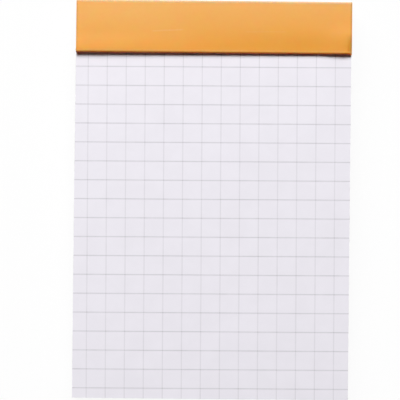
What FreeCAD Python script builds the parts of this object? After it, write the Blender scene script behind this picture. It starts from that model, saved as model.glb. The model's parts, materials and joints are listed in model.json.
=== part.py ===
import FreeCAD, Part
import math
import os
from FreeCAD import Vector

# A pocket pad of squared paper, stapled along its head. Its card cover is one sheet of card:
# it starts under the backing board, goes round the head, lies on the first sheet as the binding
# strip, folds back on itself, passes over the head again and lies behind the pad.
# The pad lies on its back. X runs across it, Y runs along it with the head at +Y, Z points up.
# The origin is the middle of the footprint, on the surface that the pad lies on.

# Driving dimensions, in millimetres
sheet_width = 73.0
sheet_length = 104.4
sheet_count = 80
sheet_thickness = 0.1
board_thickness = 1.0
card_thickness = 0.35
strip_height = 14.0         # from the outside of the head to the strip's folded lower edge
back_strip_height = 15.0    # from the outside of the head to the end of the card under the board
staple_inset = 22.7         # from the sheet's side to the middle of the staple near it
staple_rise = 5.9           # from the strip's folded lower edge up to the staples
crown_width = 11.5          # between the middles of a staple's two legs
clinch_length = 3.5         # how far each leg is bent over under the pad
wire_diameter = 0.5
ruling_pitch = 5.0
ruling_line_width = 0.3
ruling_side_margin = 4.1    # from the sheet's left side to the first line
ruling_foot_margin = 2.7    # from the sheet's foot to the first line
ink_thickness = 0.02

# Clearances, in millimetres
head_clearance = 0.05       # between the sheets and the card round their head
head_gap = 0.2              # between the two layers of card at the head
crown_clearance = 0.05      # between the staples and the card folded over them
leg_clearance = 0.05        # all round a staple's leg in its hole
clinch_clearance = 0.1      # between the bent legs and the cover panel
hinge_clearance = 0.05      # between a turning edge of card and the card it turns on
ruling_clearance = 0.1      # between the strip's folded edge and the end of the printed lines

# Ends of runs that are nearer than this are one point
same_point = 0.001

# Heights, from the cover panel up
half_card = card_thickness / 2
wire_radius = wire_diameter / 2
panel_middle_z = half_card
clinch_z = card_thickness + clinch_clearance + wire_radius
back_strip_z = clinch_z + wire_radius
board_z = back_strip_z + card_thickness
stack_z = board_z + board_thickness
stack_top_z = stack_z + sheet_count * sheet_thickness
strip_middle_z = stack_top_z + half_card
crown_z = stack_top_z + card_thickness + wire_radius
overlay_middle_z = crown_z + wire_radius + crown_clearance + half_card

# Places along the pad, from the outside of the head
pad_length = sheet_length + head_clearance + card_thickness + head_gap + card_thickness
head_y = pad_length / 2
fold_y = head_y - half_card
wrap_y = fold_y - card_thickness - head_gap
foot_y = head_y - pad_length
crease_y = head_y - strip_height
staple_y = crease_y + staple_rise

# The cover reaches the foot when it is closed over the first sheet
flap_length = crease_y - foot_y
overlay_length = fold_y - crease_y
head_length = overlay_middle_z - panel_middle_z
panel_length = flap_length - overlay_length - head_length

# Bends, measured to the middle of the card or wire
head_bend = head_clearance + half_card
crease_bend = (overlay_middle_z - strip_middle_z) / 2
staple_bend = wire_radius + leg_clearance


def straight(start, end):
    # One straight edge, or none where two bends meet
    if start.isEqual(end, same_point):
        return []
    return [Part.LineSegment(start, end).toShape()]


def directions(points):
    # The direction of each run of the path, and the direction to its left
    runs = [(end - start).normalize() for start, end in zip(points, points[1:])]
    return runs, [Vector(-run.y, run.x, 0) for run in runs]


def bent_line(points, bends, offset=0.0):
    # Edges along a path in the XY plane, offset to its left, each corner bent to its own radius
    runs, lefts = directions(points)
    edges = []
    here = points[0] + lefts[0] * offset
    for at, (corner, bend) in enumerate(zip(points[1:-1], bends)):
        before, after = runs[at], runs[at + 1]
        turn = math.atan2(before.x * after.y - before.y * after.x, before.dot(after))
        side = math.copysign(1, turn)
        reach = bend * math.tan(abs(turn) / 2)
        centre = corner - before * reach + lefts[at] * side * bend
        enter = corner - before * reach + lefts[at] * offset
        leave = corner + after * reach + lefts[at + 1] * offset
        middle = centre + (corner - centre).normalize() * (bend - side * offset)
        edges += straight(here, enter)
        edges.append(Part.Arc(enter, middle, leave).toShape())
        here = leave
    return edges + straight(here, points[-1] + lefts[-1] * offset)


def folded_card(points, bends=(), round_start=False):
    # Card that follows a path across the pad's side view, given as (y, z) points.
    # A round start is an edge that turns in a fold.
    points = [Vector(y, z, 0) for y, z in points]
    runs, lefts = directions(points)
    first_left = points[0] + lefts[0] * half_card
    first_right = points[0] - lefts[0] * half_card
    last_left = points[-1] + lefts[-1] * half_card
    last_right = points[-1] - lefts[-1] * half_card
    if round_start:
        start = [Part.Arc(first_right, points[0] - runs[0] * half_card, first_left).toShape()]
    else:
        start = straight(first_right, first_left)
    outline = start + bent_line(points, bends, half_card) + straight(last_left, last_right)
    outline += bent_line(points, bends, -half_card)
    card = Part.Face(Part.Wire(Part.__sortEdges__(outline))).extrude(Vector(0, 0, sheet_width))
    card.translate(Vector(0, 0, -sheet_width / 2))
    # A third of a turn about this axis takes X to Y, Y to Z and Z to X
    card.rotate(Vector(0, 0, 0), Vector(1, 1, 1), 120)
    return card


def leaf(bottom_z, thickness):
    # A flat layer of the pad's full size, with its holes for the staples
    corner = Vector(-sheet_width / 2, foot_y, bottom_z)
    return Part.makeBox(sheet_width, sheet_length, thickness, corner).cut(leg_holes())


def staple_middles():
    return [-sheet_width / 2 + staple_inset, sheet_width / 2 - staple_inset]


def leg_holes():
    # The four holes, from under the card below the board to over the binding strip
    height = crown_z - clinch_z
    return Part.makeCompound([
        Part.makeCylinder(wire_radius + leg_clearance, height, Vector(middle + side, staple_y, clinch_z))
        for middle in staple_middles()
        for side in (-crown_width / 2, crown_width / 2)
    ])


def staple(middle_x):
    # Round wire: a crown on the strip, two legs through the pad, and both ends bent inwards
    half = crown_width / 2
    path = [
        Vector(-half + clinch_length, clinch_z, 0),
        Vector(-half, clinch_z, 0),
        Vector(-half, crown_z, 0),
        Vector(half, crown_z, 0),
        Vector(half, clinch_z, 0),
        Vector(half - clinch_length, clinch_z, 0),
    ]
    wire = Part.Wire(bent_line(path, [staple_bend] * (len(path) - 2)))
    section = Part.Face(Part.Wire(Part.makeCircle(wire_radius, path[0], Vector(1, 0, 0))))
    body = wire.makePipe(section)
    body.rotate(Vector(0, 0, 0), Vector(1, 0, 0), 90)
    body.translate(Vector(middle_x, staple_y, 0))
    return body


def cover_strip():
    # The stapled part of the card, from under the board to the fold at the head's front edge
    path = [
        (head_y - back_strip_height, board_z - half_card),
        (wrap_y, board_z - half_card),
        (wrap_y, strip_middle_z),
        (crease_y + half_card, strip_middle_z),
        (crease_y + half_card, overlay_middle_z),
        (fold_y - half_card - hinge_clearance, overlay_middle_z),
    ]
    return folded_card(path, [head_bend, head_bend, crease_bend, crease_bend]).cut(leg_holes())


def cover_head():
    # The card over the head. It turns about the head's front edge.
    path = [
        (fold_y, overlay_middle_z),
        (fold_y, panel_middle_z + half_card + hinge_clearance),
    ]
    return folded_card(path, round_start=True)


def cover_panel():
    # The card behind the pad. It turns about the head's back edge.
    path = [
        (fold_y, panel_middle_z),
        (fold_y - panel_length, panel_middle_z),
    ]
    return folded_card(path, round_start=True)


def ruling():
    # The squares printed on the first sheet, as the film of ink left between the bare squares
    left_x = -sheet_width / 2
    right_x = sheet_width / 2
    top_y = crease_y - ruling_clearance
    page = Part.makeBox(
        sheet_width, top_y - foot_y, ink_thickness, Vector(left_x, foot_y, stack_top_z)
    )
    bare = [
        Part.makeBox(x_end - x_start, y_end - y_start, ink_thickness, Vector(x_start, y_start, stack_top_z))
        for x_start, x_end in bare_spans(left_x, right_x, ruling_side_margin)
        for y_start, y_end in bare_spans(foot_y, top_y, ruling_foot_margin)
    ]
    return page.cut(Part.makeCompound(bare))


def bare_spans(low, high, margin):
    # The stretches between printed lines, the first line a margin in from the low edge
    half_line = ruling_line_width / 2
    count = int((high - low - margin - half_line) / ruling_pitch) + 1
    lines = [low + margin + at * ruling_pitch for at in range(count)]
    starts = [low] + [line + half_line for line in lines]
    ends = [line - half_line for line in lines] + [high]
    return list(zip(starts, ends))


left_staple_x, right_staple_x = staple_middles()
pieces = {
    "sheets": leaf(stack_z, stack_top_z - stack_z),
    "ruling": ruling(),
    "backing_board": leaf(board_z, board_thickness),
    "cover_strip": cover_strip(),
    "cover_head": cover_head(),
    "cover_panel": cover_panel(),
    "staple_left": staple(left_staple_x),
    "staple_right": staple(right_staple_x),
}

os.makedirs("parts", exist_ok=True)
for name, shape in pieces.items():
    solid = shape.Solids[0]
    if len(shape.Solids) != 1 or not solid.isValid():
        raise ValueError(name + " is not one sound solid")
    solid.exportStep("parts/" + name + ".step")
    box = solid.BoundBox
    print(
        f"{name}: {solid.Volume:.2f} mm3, x {box.XMin:.3f} to {box.XMax:.3f}, "
        f"y {box.YMin:.3f} to {box.YMax:.3f}, z {box.ZMin:.3f} to {box.ZMax:.3f}"
    )
print(f"fold at y {fold_y:.3f}, front z {overlay_middle_z:.3f}, back z {panel_middle_z:.3f}")
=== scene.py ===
import bpy
import bmesh
import json
import math
import random
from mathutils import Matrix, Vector
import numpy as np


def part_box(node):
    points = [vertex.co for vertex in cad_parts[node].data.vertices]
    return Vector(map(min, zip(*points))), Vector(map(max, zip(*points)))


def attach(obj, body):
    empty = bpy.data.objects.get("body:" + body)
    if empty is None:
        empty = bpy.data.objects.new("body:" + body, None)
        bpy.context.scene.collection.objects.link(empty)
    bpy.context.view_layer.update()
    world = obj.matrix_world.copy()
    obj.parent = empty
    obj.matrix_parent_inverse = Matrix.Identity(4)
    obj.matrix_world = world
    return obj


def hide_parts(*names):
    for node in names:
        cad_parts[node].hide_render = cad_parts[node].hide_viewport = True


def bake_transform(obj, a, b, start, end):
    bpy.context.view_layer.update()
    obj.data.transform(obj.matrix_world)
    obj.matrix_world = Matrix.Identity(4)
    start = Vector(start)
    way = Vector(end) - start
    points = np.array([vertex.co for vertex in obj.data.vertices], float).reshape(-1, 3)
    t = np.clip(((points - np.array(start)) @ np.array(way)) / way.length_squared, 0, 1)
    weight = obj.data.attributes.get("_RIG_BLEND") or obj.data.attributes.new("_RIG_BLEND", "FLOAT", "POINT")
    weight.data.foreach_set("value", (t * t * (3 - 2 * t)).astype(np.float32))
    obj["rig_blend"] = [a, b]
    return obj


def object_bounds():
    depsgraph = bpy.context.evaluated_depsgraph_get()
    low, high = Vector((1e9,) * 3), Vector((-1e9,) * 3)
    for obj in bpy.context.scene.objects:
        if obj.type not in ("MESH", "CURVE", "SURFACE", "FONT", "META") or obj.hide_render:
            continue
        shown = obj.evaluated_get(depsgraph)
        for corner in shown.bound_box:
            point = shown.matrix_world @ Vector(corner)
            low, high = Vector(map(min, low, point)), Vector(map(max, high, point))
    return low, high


# A pocket pad of squared paper with its orange card cover folded back over the head.
# Metres throughout. X runs across the pad, the head is at +Y, the pad lies on its back.

mm = 0.001
samePlace = 0.01 * mm      # points nearer than this lie on one line
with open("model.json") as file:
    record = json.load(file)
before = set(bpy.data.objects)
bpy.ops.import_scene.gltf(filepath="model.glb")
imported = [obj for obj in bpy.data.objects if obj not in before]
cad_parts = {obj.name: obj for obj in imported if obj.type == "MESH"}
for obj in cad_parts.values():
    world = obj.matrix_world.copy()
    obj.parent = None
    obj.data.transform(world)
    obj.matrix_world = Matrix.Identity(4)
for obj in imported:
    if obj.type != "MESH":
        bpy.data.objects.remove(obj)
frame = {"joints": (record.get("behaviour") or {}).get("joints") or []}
cadLow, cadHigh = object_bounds()
print("frame loaded")


# where the CAD pieces lie
sheetsLow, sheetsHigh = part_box("sheets")
boardLow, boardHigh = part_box("backing_board")
panelLow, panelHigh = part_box("cover_panel")
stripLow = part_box("cover_strip")[0]
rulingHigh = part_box("ruling")[1]
stapleBoxes = {name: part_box(name) for name in ("staple_left", "staple_right")}
hinges = {joint["name"]: Vector(joint["pos_m"]) for joint in frame["joints"]}
cardThickness = panelHigh.z - panelLow.z
wireRadius = (stapleBoxes["staple_left"][1].y - stapleBoxes["staple_left"][0].y) / 2
padWidth = sheetsHigh.x - sheetsLow.x
sheetLength = sheetsHigh.y - sheetsLow.y
sheetsMiddle = (sheetsLow + sheetsHigh) / 2


# small tools, used by every piece

def selectOnly(*chosen):
    bpy.ops.object.select_all(action="DESELECT")
    for piece in chosen:
        piece.select_set(True)
    bpy.context.view_layer.objects.active = chosen[0]


def editMode(piece, by="VERT"):
    selectOnly(piece)
    bpy.ops.object.mode_set(mode="EDIT")
    bpy.ops.mesh.select_mode(type=by)


def objectMode():
    bpy.ops.object.mode_set(mode="OBJECT")


def pickPoints(piece, wanted):
    # in edit mode, selects the points that wanted(place) names
    bpy.ops.mesh.select_all(action="DESELECT")
    mesh = bmesh.from_edit_mesh(piece.data)
    for point in mesh.verts:
        point.select_set(wanted(point.co))
    mesh.select_flush(True)
    bmesh.update_edit_mesh(piece.data)


def nudge(piece, wanted, move, reach=0.0):
    # moves the chosen points by hand, dragging their neighbours along within reach
    pickPoints(piece, wanted)
    bpy.ops.transform.translate(
        value=move,
        use_proportional_edit=reach > 0,
        proportional_edit_falloff="SMOOTH",
        proportional_size=max(reach, mm),
    )


def applyModifiers(piece):
    selectOnly(piece)
    for modifier in list(piece.modifiers):
        bpy.ops.object.modifier_apply(modifier=modifier.name)


def settle(piece, name):
    # the finished piece sits at the origin with its place in its mesh
    piece.name = piece.data.name = name
    selectOnly(piece)
    bpy.ops.object.transform_apply(location=True, rotation=True, scale=True)
    return piece


def mendNormals(piece):
    editMode(piece)
    bpy.ops.mesh.select_all(action="SELECT")
    bpy.ops.mesh.remove_doubles(threshold=0.0001 * mm)
    bpy.ops.mesh.normals_make_consistent(inside=False)
    objectMode()


trim = {
    "atFoot": -36.49 * mm,    # the guillotine's line along the left side
    "atHead": -36.33 * mm,
}


def trimLeft(piece, filled=False):
    # the left side was cut a little out of square, through sheets, board and card alike
    run = Vector((trim["atHead"] - trim["atFoot"], cadHigh.y - cadLow.y, 0)).normalized()
    editMode(piece)
    bpy.ops.mesh.select_all(action="SELECT")
    bpy.ops.mesh.bisect(
        plane_co=(trim["atFoot"], cadLow.y, 0), plane_no=(-run.y, run.x, 0),
        use_fill=filled, clear_outer=True, clear_inner=False,
    )
    objectMode()


def followPath(moves):
    # carries the selected open edges along: straight by a move, in so many rows, or round a
    # centre by an angle, in so many steps about an axis
    for kind, value, more in moves:
        if kind == "go":
            step = Vector(value) / more
            for _ in range(more):
                bpy.ops.mesh.extrude_region_move(TRANSFORM_OT_translate={"value": step})
        else:
            angle, steps, axis = more
            # spin turns the other way
            bpy.ops.mesh.spin(steps=steps, angle=-angle, center=value, axis=axis)


hole = {
    "room": 0.05 * mm,        # round the wire
    "sides": 12,
}


def drillTool():
    # four pins where the staples' legs go through, wide enough to clear the wire
    pins = []
    for low, high in stapleBoxes.values():
        for x in (low.x + wireRadius, high.x - wireRadius):
            bpy.ops.mesh.primitive_cylinder_add(
                vertices=hole["sides"], radius=wireRadius + hole["room"], depth=cadHigh.z * 2,
                location=(x, (low.y + high.y) / 2, cadHigh.z / 2),
            )
            pins.append(bpy.context.object)
    selectOnly(*pins)
    bpy.ops.object.join()
    return bpy.context.object


def drill(piece, tool):
    cut = piece.modifiers.new("legHoles", "BOOLEAN")
    cut.object = tool
    cut.operation = "DIFFERENCE"
    cut.solver = "EXACT"
    applyModifiers(piece)


def thicken(piece, thickness, offset=1):
    # gives a sheet its thickness: above it, or to both sides at offset 0
    wall = piece.modifiers.new("thickness", "SOLIDIFY")
    wall.thickness = thickness
    wall.offset = offset
    wall.use_even_offset = offset == 0
    applyModifiers(piece)


def roundEdges(piece, width, segments):
    soften = piece.modifiers.new("softened", "BEVEL")
    soften.width = width
    soften.segments = segments
    soften.limit_method = "ANGLE"
    soften.angle_limit = math.radians(60)
    applyModifiers(piece)


def smooth(piece, degrees):
    selectOnly(piece)
    bpy.ops.object.shade_smooth_by_angle(angle=math.radians(degrees))


def finishWith(piece, material):
    piece.data.materials.clear()
    piece.data.materials.append(material)


# materials: a few helpers to lay nodes

def newMaterial(name):
    material = bpy.data.materials.new(name)
    material.use_nodes = True
    return material, material.node_tree.nodes["Principled BSDF"]


def node(material, kind, inputs=None, **settings):
    made = material.node_tree.nodes.new(kind)
    for key, value in settings.items():
        setattr(made, key, value)
    for key, value in (inputs or {}).items():
        if isinstance(value, bpy.types.NodeSocket):
            material.node_tree.links.new(value, made.inputs[key])
        else:
            made.inputs[key].default_value = value
    return made


def maths(material, operation, *values):
    made = node(material, "ShaderNodeMath", operation=operation)
    for socket, value in zip(made.inputs, values):
        if isinstance(value, bpy.types.NodeSocket):
            material.node_tree.links.new(value, socket)
        else:
            socket.default_value = value
    return made.outputs[0]


def ramp(material, value, low, high, toLow=0.0, toHigh=1.0):
    # a smooth change from toLow to toHigh while value goes from low to high
    made = node(
        material, "ShaderNodeMapRange",
        {"Value": value, "From Min": low, "From Max": high, "To Min": toLow, "To Max": toHigh},
        interpolation_type="SMOOTHSTEP",
    )
    return made.outputs[0]


def noise(material, place, size, detail=2.0, roughness=0.5, stretch=(1, 1, 1)):
    # soft spots about size metres across
    spread = node(material, "ShaderNodeMapping", {"Vector": place, "Scale": stretch})
    made = node(
        material, "ShaderNodeTexNoise",
        {"Vector": spread.outputs[0], "Scale": 1 / size, "Detail": detail, "Roughness": roughness},
    )
    return made.outputs[0]


def tint(material, amount, first, second):
    made = node(material, "ShaderNodeMix", data_type="RGBA")
    sockets = [socket for socket in made.inputs if socket.enabled]
    for socket, value in zip(sockets, (amount, first, second)):
        if isinstance(value, bpy.types.NodeSocket):
            material.node_tree.links.new(value, socket)
        else:
            socket.default_value = value if isinstance(value, float) else (*value, 1.0)
    return [socket for socket in made.outputs if socket.enabled][0]


def bump(material, shader, height, distance, strength=1.0):
    made = node(
        material, "ShaderNodeBump",
        {"Height": height, "Distance": distance, "Strength": strength},
    )
    material.node_tree.links.new(made.outputs[0], shader.inputs["Normal"])


def shade(material, colour, light):
    # one colour, lighter or darker by light
    made = node(material, "ShaderNodeVectorMath", {0: colour, "Scale": light}, operation="SCALE")
    return made.outputs[0]


def finishLike(shader, look):
    shader.inputs["Roughness"].default_value = look["roughness"]
    shader.inputs["Specular IOR Level"].default_value = look["specular"]


# the squared paper

paper = {
    "colour": (0.860, 0.835, 0.895),
    "across": 5.0334 * mm,            # between upright lines
    "along": 5.0073 * mm,             # between lines across
    "sideMargin": 3.53 * mm,          # left side of the sheet to the first upright line
    "footMargin": 2.76 * mm,
    "lineWidth": 0.3 * mm,
    "lineBlur": 0.02 * mm,            # to either side of a line's edge
    "lineStray": 0.05 * mm,           # how far that edge wanders
    "lineGrain": 0.25 * mm,           # and how often
    "acrossInk": 0.205,               # how much light the lines across take away
    "uprightInk": 0.115,
    "inkPatch": 4 * mm,               # the size of stronger and weaker patches of ink
    "printTurn": math.radians(0.23),  # the print sits a little askew on the sheet
    "cloud": 6 * mm,
    "mottle": 0.012,                  # how much the paper's look-through varies
    "fibre": 0.12 * mm,
    "fibreHeight": 0.01 * mm,
    "roughness": 0.75,
    "specular": 0.25,
}

sheetEdges = {
    "colour": (0.83, 0.80, 0.84),
    "streak": 0.35 * mm,
    "streakHeight": 0.02 * mm,
    "layer": 0.22 * mm,               # bands of sheets that the knife took a little differently
    "ink": 0.05,                      # the ends of the printed lines
    "roughness": 0.85,
    "specular": 0.2,
}


def printedLines(material, along, firstLine, pitch, ink, wobble):
    # light kept by a family of parallel lines
    offset = maths(material, "SUBTRACT", along, firstLine)
    away = maths(material, "PINGPONG", offset, pitch / 2)
    ragged = maths(material, "ADD", away, wobble)
    half = paper["lineWidth"] / 2
    line = ramp(material, ragged, half - paper["lineBlur"], half + paper["lineBlur"], 1.0, 0.0)
    return maths(material, "SUBTRACT", 1.0, maths(material, "MULTIPLY", line, ink))


def printedGrid(material, x, y, uprightInk, acrossInk, wobble):
    # light kept by the squares
    sideLine = sheetsLow.x + paper["sideMargin"]
    footLine = sheetsLow.y + paper["footMargin"]
    return maths(
        material, "MULTIPLY",
        printedLines(material, x, sideLine, paper["across"], uprightInk, wobble),
        printedLines(material, y, footLine, paper["along"], acrossInk, wobble),
    )


def paperMaterial():
    material, shader = newMaterial("squaredPaper")
    place = node(material, "ShaderNodeTexCoord").outputs["Object"]
    turn = (0, 0, -paper["printTurn"])
    turned = node(material, "ShaderNodeMapping", {"Vector": place, "Rotation": turn})
    split = node(material, "ShaderNodeSeparateXYZ", {"Vector": turned.outputs[0]})
    grain = noise(material, place, paper["lineGrain"], 3.0)
    wander = maths(material, "SUBTRACT", grain, 0.5)
    wobble = maths(material, "MULTIPLY", wander, paper["lineStray"])
    patchy = ramp(material, noise(material, place, paper["inkPatch"], 2.0), 0.3, 0.7, 0.85, 1.1)
    keep = printedGrid(
        material, split.outputs["X"], split.outputs["Y"],
        maths(material, "MULTIPLY", patchy, paper["uprightInk"]),
        maths(material, "MULTIPLY", patchy, paper["acrossInk"]), wobble,
    )

    # only the sheet's upper side is printed
    normal = node(material, "ShaderNodeNewGeometry").outputs["Normal"]
    facing = node(material, "ShaderNodeSeparateXYZ", {"Vector": normal})
    onTop = maths(material, "GREATER_THAN", facing.outputs["Z"], 0.5)
    change = maths(material, "MULTIPLY", onTop, maths(material, "SUBTRACT", keep, 1.0))
    printed = maths(material, "ADD", change, 1.0)

    cloud = noise(material, place, paper["cloud"], 4.0, 0.6)
    cloudy = ramp(material, cloud, 0.3, 0.7, 1 - paper["mottle"], 1 + paper["mottle"])
    light = maths(material, "MULTIPLY", printed, cloudy)
    base = shade(material, paper["colour"], light)
    material.node_tree.links.new(base, shader.inputs["Base Color"])
    finishLike(shader, paper)
    felt = noise(material, place, paper["fibre"], 4.0, 0.7)
    bump(material, shader, felt, paper["fibreHeight"], 0.35)
    return material


def sheetEdgeMaterial():
    # the trimmed sides of the block: paper seen edge on, with the ends of the printed lines
    material, shader = newMaterial("sheetEdges")
    place = node(material, "ShaderNodeTexCoord").outputs["Object"]
    split = node(material, "ShaderNodeSeparateXYZ", {"Vector": place})
    streak = noise(material, place, sheetEdges["streak"], 3.0, 0.6, (1, 1, 6))
    layers = noise(material, place, sheetEdges["layer"], 2.0, 0.8, (0.01, 0.01, 1))
    uneven = maths(
        material, "MULTIPLY",
        ramp(material, streak, 0.25, 0.75, 0.90, 1.02),
        ramp(material, layers, 0.3, 0.7, 0.84, 1.04),
    )
    ends = printedGrid(
        material, split.outputs["X"], split.outputs["Y"], sheetEdges["ink"], sheetEdges["ink"], 0.0,
    )
    base = shade(material, sheetEdges["colour"], maths(material, "MULTIPLY", uneven, ends))
    material.node_tree.links.new(base, shader.inputs["Base Color"])
    finishLike(shader, sheetEdges)
    bump(material, shader, streak, sheetEdges["streakHeight"], 0.5)
    return material


block = {
    "sheets": 80,
    "seed": 7,
    "drift": 0.03 * mm,      # how far a trimmed edge strays
    "air": 0.012 * mm,       # kept between neighbouring sheets
    "lifted": {1: 0.10 * mm, 2: 0.05 * mm, 3: 0.02 * mm},  # the sheets under the first, at the foot
}

firstSheet = {
    "columns": 20,
    "rows": 30,
    "footLift": 0.18 * mm,
    "footReach": 45 * mm,
    "rightFrom": 30 * mm,    # from here the foot lies lower again
    "rightDrop": 0.05 * mm,
    "rightReach": 30 * mm,
    "waveGrip": 3 * mm,
    "waves": [
        {"x": -12 * mm, "y": -5 * mm, "rise": 0.04 * mm, "reach": 22 * mm},
        {"x": 20 * mm, "y": 14 * mm, "rise": 0.03 * mm, "reach": 16 * mm},
    ],
}

sheetPitch = (sheetsHigh.z - sheetsLow.z) / block["sheets"]
footRow = sheetsLow.y + mm      # what lies below this belongs to a sheet's foot


def sheetModel(tool):
    # one drilled sheet, to be copied
    bpy.ops.mesh.primitive_plane_add(size=1, location=(sheetsMiddle.x, sheetsMiddle.y, 0))
    model = bpy.context.object
    model.scale = (padWidth, sheetLength, 1)
    settle(model, "sheetModel")
    editMode(model)
    bpy.ops.mesh.select_all(action="SELECT")
    bpy.ops.mesh.subdivide(number_cuts=1)
    objectMode()
    trimLeft(model)
    thicken(model, sheetPitch - block["air"])
    drill(model, tool)
    return model


def layBlock(tool):
    model = sheetModel(tool)
    chance = random.Random(block["seed"])
    copies = []
    for at in range(block["sheets"] - 1):
        sheet = model.copy()
        sheet.data = model.data.copy()
        bpy.context.collection.objects.link(sheet)
        sheet.location = (
            chance.uniform(-1, 1) * block["drift"],
            chance.uniform(-1, 1) * block["drift"] / 2,
            sheetsLow.z + at * sheetPitch + block["air"] / 2,
        )
        copies.append(sheet)
    bpy.data.objects.remove(model)
    for below, lift in block["lifted"].items():
        sheet = copies[-below]
        selectOnly(sheet)
        bpy.ops.object.transform_apply(location=True, rotation=False, scale=False)
        editMode(sheet)
        nudge(sheet, lambda place: place.y < footRow, (0, 0, lift))
        objectMode()
    selectOnly(*copies)
    bpy.ops.object.join()
    piece = settle(bpy.context.object, "sheetBlock")
    finishWith(piece, sheetEdgeMaterial())
    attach(piece, "pad")
    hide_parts("sheets")
    print("block of sheets laid")


def waveSheet(piece):
    # very slightly wavy, and a little open at the foot
    editMode(piece)
    nudge(
        piece, lambda place: place.y < footRow, (0, 0, firstSheet["footLift"]),
        firstSheet["footReach"],
    )
    nudge(
        piece, lambda place: place.y < footRow and place.x > firstSheet["rightFrom"],
        (0, 0, -firstSheet["rightDrop"]), firstSheet["rightReach"],
    )
    for wave in firstSheet["waves"]:
        middle = Vector((wave["x"], wave["y"]))
        nudge(
            piece, lambda place: max(map(abs, place.xy - middle)) < firstSheet["waveGrip"],
            (0, 0, wave["rise"]), wave["reach"],
        )
    objectMode()


def layFirstSheet(tool):
    # the sheet that shows
    bpy.ops.mesh.primitive_grid_add(
        x_subdivisions=firstSheet["columns"], y_subdivisions=firstSheet["rows"], size=1,
        location=(sheetsMiddle.x, sheetsMiddle.y, sheetsHigh.z - sheetPitch),
    )
    piece = bpy.context.object
    piece.scale = (padWidth, sheetLength, 1)
    settle(piece, "firstSheet")
    waveSheet(piece)
    trimLeft(piece)
    thicken(piece, sheetPitch)
    drill(piece, tool)
    smooth(piece, 30)
    finishWith(piece, paperMaterial())
    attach(piece, "pad")
    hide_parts("ruling")
    print("first sheet laid")


# the backing board

board = {
    "colour": (0.40, 0.375, 0.335),
    "cloud": (0.46, 0.43, 0.39),
    "fleck": (0.26, 0.245, 0.225),
    "pulp": 0.9 * mm,
    "pulpHeight": 0.03 * mm,
    "speck": 0.35 * mm,
    "corner": 0.08 * mm,
    "roughness": 0.9,
    "specular": 0.2,
}


def boardMaterial():
    material, shader = newMaterial("greyboard")
    place = node(material, "ShaderNodeTexCoord").outputs["Object"]
    pulp = noise(material, place, board["pulp"], 6.0, 0.75)
    specks = noise(material, place, board["speck"], 2.0)
    cloudy = tint(material, ramp(material, pulp, 0.3, 0.7), board["colour"], board["cloud"])
    flecked = tint(material, ramp(material, specks, 0.66, 0.74, 0.0, 0.6), cloudy, board["fleck"])
    material.node_tree.links.new(flecked, shader.inputs["Base Color"])
    finishLike(shader, board)
    bump(material, shader, pulp, board["pulpHeight"], 0.5)
    return material


def cutBoard(tool):
    bpy.ops.mesh.primitive_cube_add(size=1, location=(boardLow + boardHigh) / 2)
    piece = bpy.context.object
    piece.scale = boardHigh - boardLow
    settle(piece, "backingBoard")
    trimLeft(piece, filled=True)
    drill(piece, tool)
    roundEdges(piece, board["corner"], 2)
    smooth(piece, 30)
    finishWith(piece, boardMaterial())
    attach(piece, "pad")
    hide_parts("backing_board")
    print("backing board cut")


# the orange cover card

card = {
    "colour": (0.875, 0.400, 0.078),
    "sheenPale": (0.925, 0.482, 0.142),     # painted sheen, paler nearer the head
    "shadeDeep": (0.832, 0.345, 0.027),     # painted shade, deeper nearer the fold
    "from": -6 * mm,
    "to": 20 * mm,
    "lean": 0.05,                      # painted sheen, paler towards the left too
    "patch": 22 * mm,
    "patchShift": 6 * mm,              # how far a patch moves the change of colour
    "mottle": 1.2 * mm,
    "grain": 0.6 * mm,
    "worn": (0.62, 0.41, 0.22),        # where a fold has cracked the coat
    "creased": (0.93, 0.50, 0.17),
    "rubbed": (0.93, 0.60, 0.34),
    "darkSide": (0.55, 0.26, 0.07),
    "darkSideRight": (0.25 * mm, 0.6 * mm, 1.0, 0.0),  # in from the side: from, to, most, least
    "darkSideLeft": (0.2 * mm, 0.55 * mm, 0.7, 0.0),
    "darkSideShare": 0.55,
    "paintedFoldShade": (0.80, 0.12, 0.012),  # painted shade on the fold's underside and what lies under it
    "paintedFoldShadeAlong": (0.25 * mm, 0.6 * mm, 0.9, 0.0),
    "rubs": [
        {
            "x": -12.2 * mm, "along": 6.05 * mm, "turn": math.radians(3.0),
            "length": 8.6 * mm, "share": 0.24,
        },
        {
            "x": 13.8 * mm, "along": 5.9 * mm, "turn": math.radians(0.5),
            "length": 11.3 * mm, "share": 0.08,
        },
    ],
    "rubSide": (0.05 * mm, 0.3 * mm, 1.0, 0.0),
    "rubEnd": (-1.0 * mm, 0.3 * mm, 1.0, 0.0),
    "roughness": 0.48,
    "specular": 0.35,
    "glow": 0.5,                       # share of the light that goes a little way into the card
    "glowReach": 0.4 * mm,
    "glowColour": (1.2, 0.2, 0.05),
    "felt": 0.5 * mm,
    "feltHeight": 0.02 * mm,
    "columns": 36,
    "cutCorner": 0.05 * mm,
}

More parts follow.
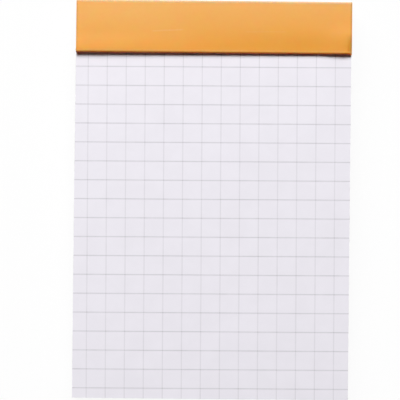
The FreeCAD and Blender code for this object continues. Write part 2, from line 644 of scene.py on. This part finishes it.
fold = {
    "headBend": 0.225 * mm,            # round the head, to the middle of the card
    "coverBend": 0.28 * mm,            # the cover's own two folds at the head
    "pastPrint": 0.2 * mm,             # from the end of the CAD's printed lines to the fold
    "seam": 3.0 * mm,                  # how far under the fold the strip and the cover meet
    "slip": 0.05 * mm,                 # the folded layer stands over to the right
    "skew": math.radians(0.12),        # and the fold isn't quite square to the sides
    "skewStart": 2 * mm,               # the skew begins this far before the turn
    "tilt": math.radians(0.43),        # it stands open more at its left end
    "earUp": 0.44 * mm,                # and opens again at its right end
    "earWidth": 2 * mm,
    "earReach": 8 * mm,
    "pinch": 0.7 * mm,                 # but for its last corner, which is pressed down
    "pinchReach": 5 * mm,
    # by millimetres in from the right side
    "pinchShares": {0: 1.0, 0.35: 0.85, 0.7: 0.5, 1.05: 0.2, 1.4: 0.05},
    "extraColumns": (0.35, 0.7, 1.05, 1.4, 3.0),
    "columnGrip": 0.15 * mm,
    "swell": 0.02 * mm,
    "swells": {-26: 1, -4: -1, 20: 1},   # up or down, by millimetres across the pad
    "swellGrip": 3 * mm,
    "swellReach": 9 * mm,
}
rowWidth = 0.002 * mm      # how near a row's length along the card its points lie


def coatWithPaintedLight(material, x, along, flat, mottle):
    # painted sheen, paler towards the head and the left in soft patches, and painted shade, deeper towards
    # the fold; with a random mottle
    patch = noise(material, flat, card["patch"], 2.0)
    lean = maths(material, "ADD", along, maths(material, "MULTIPLY", x, -card["lean"]))
    shift = maths(material, "MULTIPLY", maths(material, "SUBTRACT", patch, 0.5), card["patchShift"])
    sheenShare = ramp(material, maths(material, "ADD", lean, shift), card["from"], card["to"])
    base = tint(material, sheenShare, card["shadeDeep"], card["sheenPale"])
    base = tint(material, ramp(material, mottle, 0.35, 0.75, 0.0, 0.2), base, card["colour"])

    # painted shade: the side of the fold that faces down is darkened in the colour
    paintedFoldShade = ramp(material, along, *card["paintedFoldShadeAlong"])
    return tint(material, paintedFoldShade, base, card["paintedFoldShade"])


def crackedFolds(material, base, along, grain):
    # the coat has cracked a little along the folds and lost some colour there
    for middle, width, share, tone in wornFolds:
        away = maths(material, "ABSOLUTE", maths(material, "SUBTRACT", along, middle))
        worn = ramp(material, away, 0.0, width, share, 0.0)
        worn = maths(material, "MULTIPLY", worn, ramp(material, grain, 0.3, 0.6, 0.45, 1.0))
        base = tint(material, worn, base, card[tone])
    return base


def rubbedStreaks(material, base, flat, grain):
    # it is rubbed where the staples under it stand up
    for rub in card["rubs"]:
        start = (-rub["x"], -rub["along"], 0)
        moved = node(material, "ShaderNodeMapping", {"Vector": flat, "Location": start})
        turn = (0, 0, -rub["turn"])
        turned = node(material, "ShaderNodeMapping", {"Vector": moved.outputs[0], "Rotation": turn})
        near = node(material, "ShaderNodeSeparateXYZ", {"Vector": turned.outputs[0]})
        beside = maths(material, "ABSOLUTE", near.outputs["Y"])
        side = ramp(material, beside, *card["rubSide"])
        outwards = maths(material, "ABSOLUTE", near.outputs["X"])
        beyond = maths(material, "SUBTRACT", outwards, rub["length"] / 2)
        end = ramp(material, beyond, *card["rubEnd"])
        mark = maths(material, "MULTIPLY", maths(material, "MULTIPLY", side, end), rub["share"])
        mark = maths(material, "MULTIPLY", mark, ramp(material, grain, 0.25, 0.6, 0.3, 1.0))
        base = tint(material, mark, base, card["rubbed"])
    return base


def darkenSides(material, base, x):
    # the card is darker along its cut sides
    inRight = maths(material, "SUBTRACT", padWidth / 2 + fold["slip"], x)
    right = ramp(material, inRight, *card["darkSideRight"])
    inLeft = maths(material, "ADD", x, -trim["atHead"])
    left = ramp(material, inLeft, *card["darkSideLeft"])
    most = maths(material, "MAXIMUM", right, left)
    darkSide = maths(material, "MULTIPLY", most, card["darkSideShare"])
    return tint(material, darkSide, base, card["darkSide"])


def cardMaterial():
    material, shader = newMaterial("orangeCard")
    place = node(material, "ShaderNodeTexCoord").outputs["Object"]
    x = node(material, "ShaderNodeSeparateXYZ", {"Vector": place}).outputs["X"]
    along = node(material, "ShaderNodeAttribute", attribute_name="alongCard").outputs["Fac"]
    flat = node(material, "ShaderNodeCombineXYZ", {"X": x, "Y": along}).outputs[0]
    mottle = noise(material, flat, card["mottle"], 5.0, 0.65)
    grain = noise(material, flat, card["grain"], 4.0, 0.7)
    base = coatWithPaintedLight(material, x, along, flat, mottle)
    base = crackedFolds(material, base, along, grain)
    base = rubbedStreaks(material, base, flat, grain)
    base = darkenSides(material, base, x)
    material.node_tree.links.new(base, shader.inputs["Base Color"])

    gloss = ramp(material, mottle, 0.3, 0.7, card["roughness"] - 0.04, card["roughness"] + 0.05)
    material.node_tree.links.new(gloss, shader.inputs["Roughness"])
    shader.inputs["Specular IOR Level"].default_value = card["specular"]
    shader.inputs["Subsurface Weight"].default_value = card["glow"]
    shader.inputs["Subsurface Radius"].default_value = card["glowColour"]
    shader.inputs["Subsurface Scale"].default_value = card["glowReach"]
    felt = noise(material, flat, card["felt"], 4.0, 0.6)
    bump(material, shader, felt, card["feltHeight"], 0.25)
    return material


def startRibbon(y, z):
    # one edge across the pad, cut into columns, ready to be drawn out along a path
    bpy.ops.mesh.primitive_plane_add(size=padWidth, location=(0, y + padWidth / 2, z))
    piece = bpy.context.object
    selectOnly(piece)
    bpy.ops.object.transform_apply(location=True, rotation=True, scale=True)
    editMode(piece)
    pickPoints(piece, lambda place: place.y > y + mm)
    bpy.ops.mesh.delete(type="VERT")
    bpy.ops.mesh.select_all(action="SELECT")
    bpy.ops.mesh.select_mode(type="EDGE")
    bpy.ops.mesh.subdivide(number_cuts=card["columns"] - 1)
    bpy.ops.mesh.select_all(action="SELECT")
    return piece


def markAlong(piece, isFirst, start):
    # writes how far along the unfolded card each point lies, walking from the first row
    objectMode()
    mesh = bmesh.new()
    mesh.from_mesh(piece.data)
    along = mesh.verts.layers.float.new("alongCard")
    front = [point for point in mesh.verts if isFirst(point.co)]
    seen = set(front)
    for point in front:
        point[along] = start
    while front:
        ahead = []
        for point in front:
            for edge in point.link_edges:
                other = edge.other_vert(point)
                if other not in seen:
                    other[along] = point[along] + edge.calc_length()
                    seen.add(other)
                    ahead.append(other)
        front = ahead
    mesh.to_mesh(piece.data)
    mesh.free()


def thickenCard(piece):
    trimLeft(piece)
    thicken(piece, cardThickness, 0)
    roundEdges(piece, card["cutCorner"], 1)
    mendNormals(piece)
    smooth(piece, 35)


quarter = math.pi / 2
acrossPad = (1, 0, 0)
halfCard = cardThickness / 2
stripMiddleZ = sheetsHigh.z + halfCard
backMiddleZ = boardLow.z - halfCard
overlayMiddleZ = hinges["front_fold"].z
panelMiddleZ = hinges["back_fold"].z
foldY = hinges["front_fold"].y
wrapY = sheetsHigh.y + fold["headBend"]
creaseY = rulingHigh.y + fold["pastPrint"]
creaseBend = (overlayMiddleZ - stripMiddleZ) / 2
turnY = creaseY + halfCard + creaseBend     # where the fold at the strip's edge begins and ends
seamY = creaseY + fold["seam"]
seamZ = (overlayMiddleZ + panelMiddleZ) / 2
stapleY = (stapleBoxes["staple_left"][0].y + stapleBoxes["staple_left"][1].y) / 2

# how far along the card each place lies, from the outermost point of the fold
turnEnd = math.pi * creaseBend / 2
overStaple = turnEnd + stapleY - turnY
overHead = turnEnd + foldY - fold["coverBend"] - turnY
downHead = overHead + quarter * fold["coverBend"]
roundHead = downHead + overlayMiddleZ - panelMiddleZ - 2 * fold["coverBend"]
wornFolds = [      # the middle of each fold, half its width, how far it is worn and its tone
    (turnEnd * 1.1, 0.4 * mm, 0.6, "creased"),
    ((overHead + downHead) / 2, 0.65 * mm, 1.0, "worn"),
    (roundHead + (downHead - overHead) / 2, 0.6 * mm, 0.6, "worn"),
]


def foldBindingStrip(material, tool):
    bend = fold["headBend"]
    piece = startRibbon(stripLow.y, backMiddleZ)
    followPath([
        ("go", (0, wrapY - bend - stripLow.y, 0), 4),
        ("turn", (0, wrapY - bend, backMiddleZ + bend), (quarter, 5, acrossPad)),
        ("go", (0, 0, stripMiddleZ - backMiddleZ - 2 * bend), 3),
        ("turn", (0, wrapY - bend, stripMiddleZ - bend), (quarter, 5, acrossPad)),
        ("go", (0, seamY - wrapY + bend, 0), 3),
    ])
    markAlong(
        piece,
        lambda place: place.z > stripMiddleZ - samePlace and place.y < seamY + samePlace,
        seamY - turnY + turnEnd,
    )
    settle(piece, "bindingStrip")
    thickenCard(piece)
    drill(piece, tool)
    finishWith(piece, material)
    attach(piece, "pad")


def foldOverlay(material):
    # the layer that shows: back on itself at the strip's edge, up to the head and over it
    bend = fold["coverBend"]
    piece = startRibbon(seamY, stripMiddleZ)
    followPath([
        ("go", (0, turnY - seamY, 0), 4),
        ("turn", (0, turnY, stripMiddleZ + creaseBend), (-2 * quarter, 12, acrossPad)),
        ("go", (0, foldY - bend - turnY, 0), 22),
        ("turn", (0, foldY - bend, overlayMiddleZ - bend), (-quarter, 8, acrossPad)),
        ("go", (0, 0, seamZ - overlayMiddleZ + bend), 4),
    ])
    markAlong(
        piece,
        lambda place: place.z < stripMiddleZ + samePlace and abs(place.y - seamY) < samePlace,
        -turnEnd - seamY + turnY,
    )
    settle(piece, "coverOverlay")
    shapeOverlay(piece)
    thickenCard(piece)
    finishWith(piece, material)
    corner = Vector((0, foldY, overlayMiddleZ))
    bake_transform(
        piece, "pad", "cover_over_head",
        start=corner + Vector((0, -bend, 0)), end=corner + Vector((0, 0, -bend)),
    )
    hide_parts("cover_strip")


def easeInOut(value, low, high):
    share = min(max((value - low) / (high - low), 0.0), 1.0)
    return share * share * (3 - 2 * share)


def pickRows(piece, low, high, wanted=lambda place: True):
    # in edit mode, selects what lies between two lengths along the card
    bpy.ops.mesh.select_all(action="DESELECT")
    mesh = bmesh.from_edit_mesh(piece.data)
    along = mesh.verts.layers.float["alongCard"]
    for point in mesh.verts:
        point.select_set(low <= point[along] <= high and wanted(point.co))
    mesh.select_flush(True)
    bmesh.update_edit_mesh(piece.data)


def pickRow(piece, row, wanted=lambda place: True):
    pickRows(piece, row - rowWidth, row + rowWidth, wanted)


def drag(move, reach):
    # moves the selection, and what lies within reach along the card follows
    bpy.ops.transform.translate(
        value=move, use_proportional_edit=True, use_proportional_connected=True,
        proportional_edit_falloff="SMOOTH", proportional_size=reach,
    )


def addColumns(piece):
    # more columns where the right end is shaped finely
    editMode(piece)
    for inset in fold["extraColumns"]:
        bpy.ops.mesh.select_all(action="SELECT")
        bpy.ops.mesh.bisect(plane_co=(padWidth / 2 - inset * mm, 0, 0), plane_no=(1, 0, 0))
    objectMode()


def setOrder(piece):
    # drawing out leaves points, edges and faces in an order that varies from run to run, and
    # what drag moves depends on that order by a few microns
    mesh = bmesh.new()
    mesh.from_mesh(piece.data)
    along = mesh.verts.layers.float["alongCard"]

    def place(item):
        points = getattr(item, "verts", [item])
        return sorted((round(point[along], 6), point.co.x) for point in points)

    for kind in (mesh.verts, mesh.edges, mesh.faces):
        for index, item in enumerate(sorted(kind, key=place)):
            item.index = index
        kind.sort()
    mesh.to_mesh(piece.data)
    mesh.free()


def tiltRows(piece, rows):
    # in the turn, each row follows the top layer by its share of the height
    for row in rows:
        share = easeInOut(row, -turnEnd, turnEnd)
        falling = 1 - easeInOut(row, turnEnd, overStaple)
        nearTurn = easeInOut(row, -turnEnd - fold["skewStart"], -turnEnd) * falling
        pickRow(piece, row)
        bpy.ops.transform.translate(value=(fold["slip"] * share, 0, 0))
        bpy.ops.transform.rotate(
            value=-fold["skew"] * nearTurn, orient_axis="Z", center_override=(0, creaseY, 0),
        )
        bpy.ops.transform.rotate(
            value=-fold["tilt"] * share * falling, orient_axis="Y",
            center_override=(0, creaseY, overlayMiddleZ),
        )


def openRightEnd(piece, rows):
    # the fold's right end rises, but its last corner is pressed down
    side = padWidth / 2
    pickRows(
        piece, turnEnd * 0.8, turnEnd * 1.2, lambda place: place.x > side - fold["earWidth"],
    )
    drag((0, 0, fold["earUp"]), fold["earReach"])
    for row in rows:
        rising = easeInOut(row, -turnEnd, turnEnd)
        share = rising * (1 - easeInOut(row, turnEnd, turnEnd + fold["pinchReach"]))
        if share:
            for inset, press in fold["pinchShares"].items():
                x = side + fold["slip"] - inset * mm
                pickRow(piece, row, lambda place: abs(place.x - x) < fold["columnGrip"])
                bpy.ops.transform.translate(value=(0, 0, -fold["pinch"] * press * share))


def shapeOverlay(piece):
    addColumns(piece)
    setOrder(piece)
    rows = sorted({round(value.value, 6) for value in piece.data.attributes["alongCard"].data})
    editMode(piece)
    tiltRows(piece, rows)
    pickRows(piece, -1, -turnEnd + rowWidth)
    bpy.ops.mesh.hide()                         # the strip under the turn stays put
    openRightEnd(piece, rows)
    for x, way in fold["swells"].items():
        pickRows(
            piece, overStaple - 2 * mm, overStaple + 1.5 * mm,
            lambda place: abs(place.x - x * mm) < fold["swellGrip"],
        )
        drag((0, 0, fold["swell"] * way), fold["swellReach"])
    bpy.ops.mesh.reveal(select=False)
    objectMode()


def foldPanel(material):
    # from half way down the head, round its lower fold and along behind the pad
    bend = fold["coverBend"]
    piece = startRibbon(foldY, seamZ)
    followPath([
        ("go", (0, 0, panelMiddleZ + bend - seamZ), 4),
        ("turn", (0, foldY - bend, panelMiddleZ + bend), (-quarter, 8, acrossPad)),
        ("go", (0, panelLow.y - foldY + bend, 0), 16),
    ])
    seamAlong = downHead + overlayMiddleZ - bend - seamZ
    markAlong(piece, lambda place: place.z > seamZ - samePlace, seamAlong)
    settle(piece, "coverPanel")
    editMode(piece)
    bpy.ops.mesh.select_all(action="SELECT")
    bpy.ops.transform.translate(value=(fold["slip"], 0, 0))
    objectMode()
    thickenCard(piece)
    finishWith(piece, material)
    corner = Vector((0, foldY, panelMiddleZ))
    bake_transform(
        piece, "cover_over_head", "cover_behind",
        start=corner + Vector((0, 0, bend)), end=corner + Vector((0, -bend, 0)),
    )
    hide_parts("cover_head", "cover_panel")


def foldCover(tool):
    material = cardMaterial()
    foldBindingStrip(material, tool)
    foldOverlay(material)
    foldPanel(material)
    print("cover folded")


# the staples

staple = {
    "bend": 0.3 * mm,
    "clinch": 3.5 * mm,
    "sides": 16,
    "dull": (0.55, 0.55, 0.57),
    "bright": (0.70, 0.70, 0.72),
    "drawn": 0.08 * mm,        # the fine lines that drawing left along the wire
    "drawnHeight": 0.005 * mm,
    "roughness": 0.28,
}


def wireMaterial():
    material, shader = newMaterial("stapleWire")
    place = node(material, "ShaderNodeTexCoord").outputs["Object"]
    drawn = noise(material, place, staple["drawn"], 3.0, 0.6, (0.1, 1, 1))
    base = tint(material, ramp(material, drawn, 0.3, 0.7), staple["dull"], staple["bright"])
    material.node_tree.links.new(base, shader.inputs["Base Color"])
    shader.inputs["Metallic"].default_value = 1.0
    shader.inputs["Roughness"].default_value = staple["roughness"]
    bump(material, shader, drawn, staple["drawnHeight"], 0.4)
    return material


def bendStaple(name, cadName, material):
    low, high = stapleBoxes[cadName]
    y = (low.y + high.y) / 2
    left = low.x + wireRadius
    right = high.x - wireRadius
    bottom = boardLow.z - cardThickness - wireRadius
    top = stripMiddleZ + halfCard + wireRadius
    bend = staple["bend"]
    acrossWire = (0, 1, 0)
    bpy.ops.mesh.primitive_circle_add(
        vertices=staple["sides"], radius=wireRadius, fill_type="NOTHING",
        location=(left + staple["clinch"], y, bottom), rotation=(0, quarter, 0),
    )
    piece = bpy.context.object
    settle(piece, name)
    editMode(piece, "EDGE")
    bpy.ops.mesh.select_all(action="SELECT")
    followPath([
        ("go", (-staple["clinch"] + bend, 0, 0), 1),
        ("turn", (left + bend, y, bottom + bend), (quarter, 6, acrossWire)),
        ("go", (0, 0, top - bottom - 2 * bend), 1),
        ("turn", (left + bend, y, top - bend), (quarter, 6, acrossWire)),
        ("go", (right - left - 2 * bend, 0, 0), 1),
        ("turn", (right - bend, y, top - bend), (quarter, 6, acrossWire)),
        ("go", (0, 0, bottom - top + 2 * bend), 1),
        ("turn", (right - bend, y, bottom + bend), (quarter, 6, acrossWire)),
        ("go", (-staple["clinch"] + bend, 0, 0), 1),
    ])
    bpy.ops.mesh.select_all(action="DESELECT")
    bpy.ops.mesh.select_non_manifold()
    bpy.ops.mesh.fill_holes(sides=0)       # closes the two cut ends
    objectMode()
    mendNormals(piece)
    smooth(piece, 35)
    finishWith(piece, material)
    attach(piece, "pad")
    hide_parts(cadName)


# the floor, the lamps and the camera

studio = {
    "floor": 12.0,
    "floorBelow": 0.05 * mm,
    "floorColour": (0.9, 0.9, 0.9, 1),
    "floorWhite": 0.93,        # share of the floor that is plain white to the camera
    "roughness": 0.9,
    "specular": 0.1,
    "room": 0.02,              # the world's own light
    "aim": Vector((0, 0.01, 0.01)),
}

lamps = [
    {"name": "keyLamp", "from": (0.0, 0.93, 1.0), "away": 2.4, "size": 1.4, "power": 60.5},
    {"name": "softLamp", "from": (-0.5, 0.9, 0.9), "away": 0.8, "size": 0.35, "power": 2.4},
    {"name": "footLamp", "from": (0.25, -1.0, 0.35), "away": 1.2, "size": 0.6, "power": 0.35},
]


def layFloor():
    bpy.ops.mesh.primitive_plane_add(size=studio["floor"], location=(0, 0, -studio["floorBelow"]))
    floor = bpy.context.object
    floor.name = "floor"
    material, shader = newMaterial("paleFloor")
    shader.inputs["Base Color"].default_value = studio["floorColour"]
    finishLike(shader, studio)
    white = node(material, "ShaderNodeEmission", {"Color": (1, 1, 1, 1), "Strength": 1.0})
    rays = node(material, "ShaderNodeLightPath")
    mirrored = maths(
        material, "MAXIMUM", rays.outputs["Is Glossy Ray"], rays.outputs["Is Transmission Ray"],
    )
    seen = maths(material, "MAXIMUM", rays.outputs["Is Camera Ray"], mirrored)
    share = maths(material, "MULTIPLY", seen, studio["floorWhite"])
    mixed = node(
        material, "ShaderNodeMixShader", {0: share, 1: shader.outputs[0], 2: white.outputs[0]},
    )
    out = material.node_tree.nodes["Material Output"]
    material.node_tree.links.new(mixed.outputs[0], out.inputs["Surface"])
    floor.data.materials.append(material)


def hangLamp(settings):
    way = Vector(settings["from"]).normalized()
    bpy.ops.object.light_add(type="AREA", location=studio["aim"] + way * settings["away"])
    lamp = bpy.context.object
    lamp.name = settings["name"]
    lamp.data.shape = "DISK"
    lamp.data.size = settings["size"]
    lamp.data.energy = settings["power"]
    lamp.rotation_euler = (studio["aim"] - lamp.location).to_track_quat("-Z", "Y").to_euler()


def lightStudio():
    world = bpy.data.worlds.new("paleRoom")
    world.use_nodes = True
    room = world.node_tree.nodes["Background"]
    room.inputs["Color"].default_value = (1, 1, 1, 1)
    room.inputs["Strength"].default_value = studio["room"]
    bpy.context.scene.world = world
    for settings in lamps:
        hangLamp(settings)


camera = {
    "lens": 200.0,
    "sensor": 36.0,
    "frameSide": 105.9 * mm,           # what the square picture spans at the first sheet
    "roll": math.radians(0.6),
    "centre": (-3.16 * mm, -0.03 * mm),
    "near": 0.01,
}


def placeCamera():
    away = camera["frameSide"] * camera["lens"] / camera["sensor"]
    bpy.ops.object.camera_add(
        location=(*camera["centre"], sheetsHigh.z + away), rotation=(0, 0, camera["roll"]),
    )
    eye = bpy.context.object
    eye.data.lens = camera["lens"]
    eye.data.sensor_width = camera["sensor"]
    eye.data.clip_start = camera["near"]
    bpy.context.scene.camera = eye


bpy.context.scene.view_settings.view_transform = "Standard"
placeCamera()
layFloor()
lightStudio()
print("studio ready")

pins = drillTool()
layBlock(pins)
layFirstSheet(pins)
cutBoard(pins)
foldCover(pins)
wire = wireMaterial()
bendStaple("stapleLeft", "staple_left", wire)
bendStaple("stapleRight", "staple_right", wire)
bpy.data.objects.remove(pins)
print("staples bent")
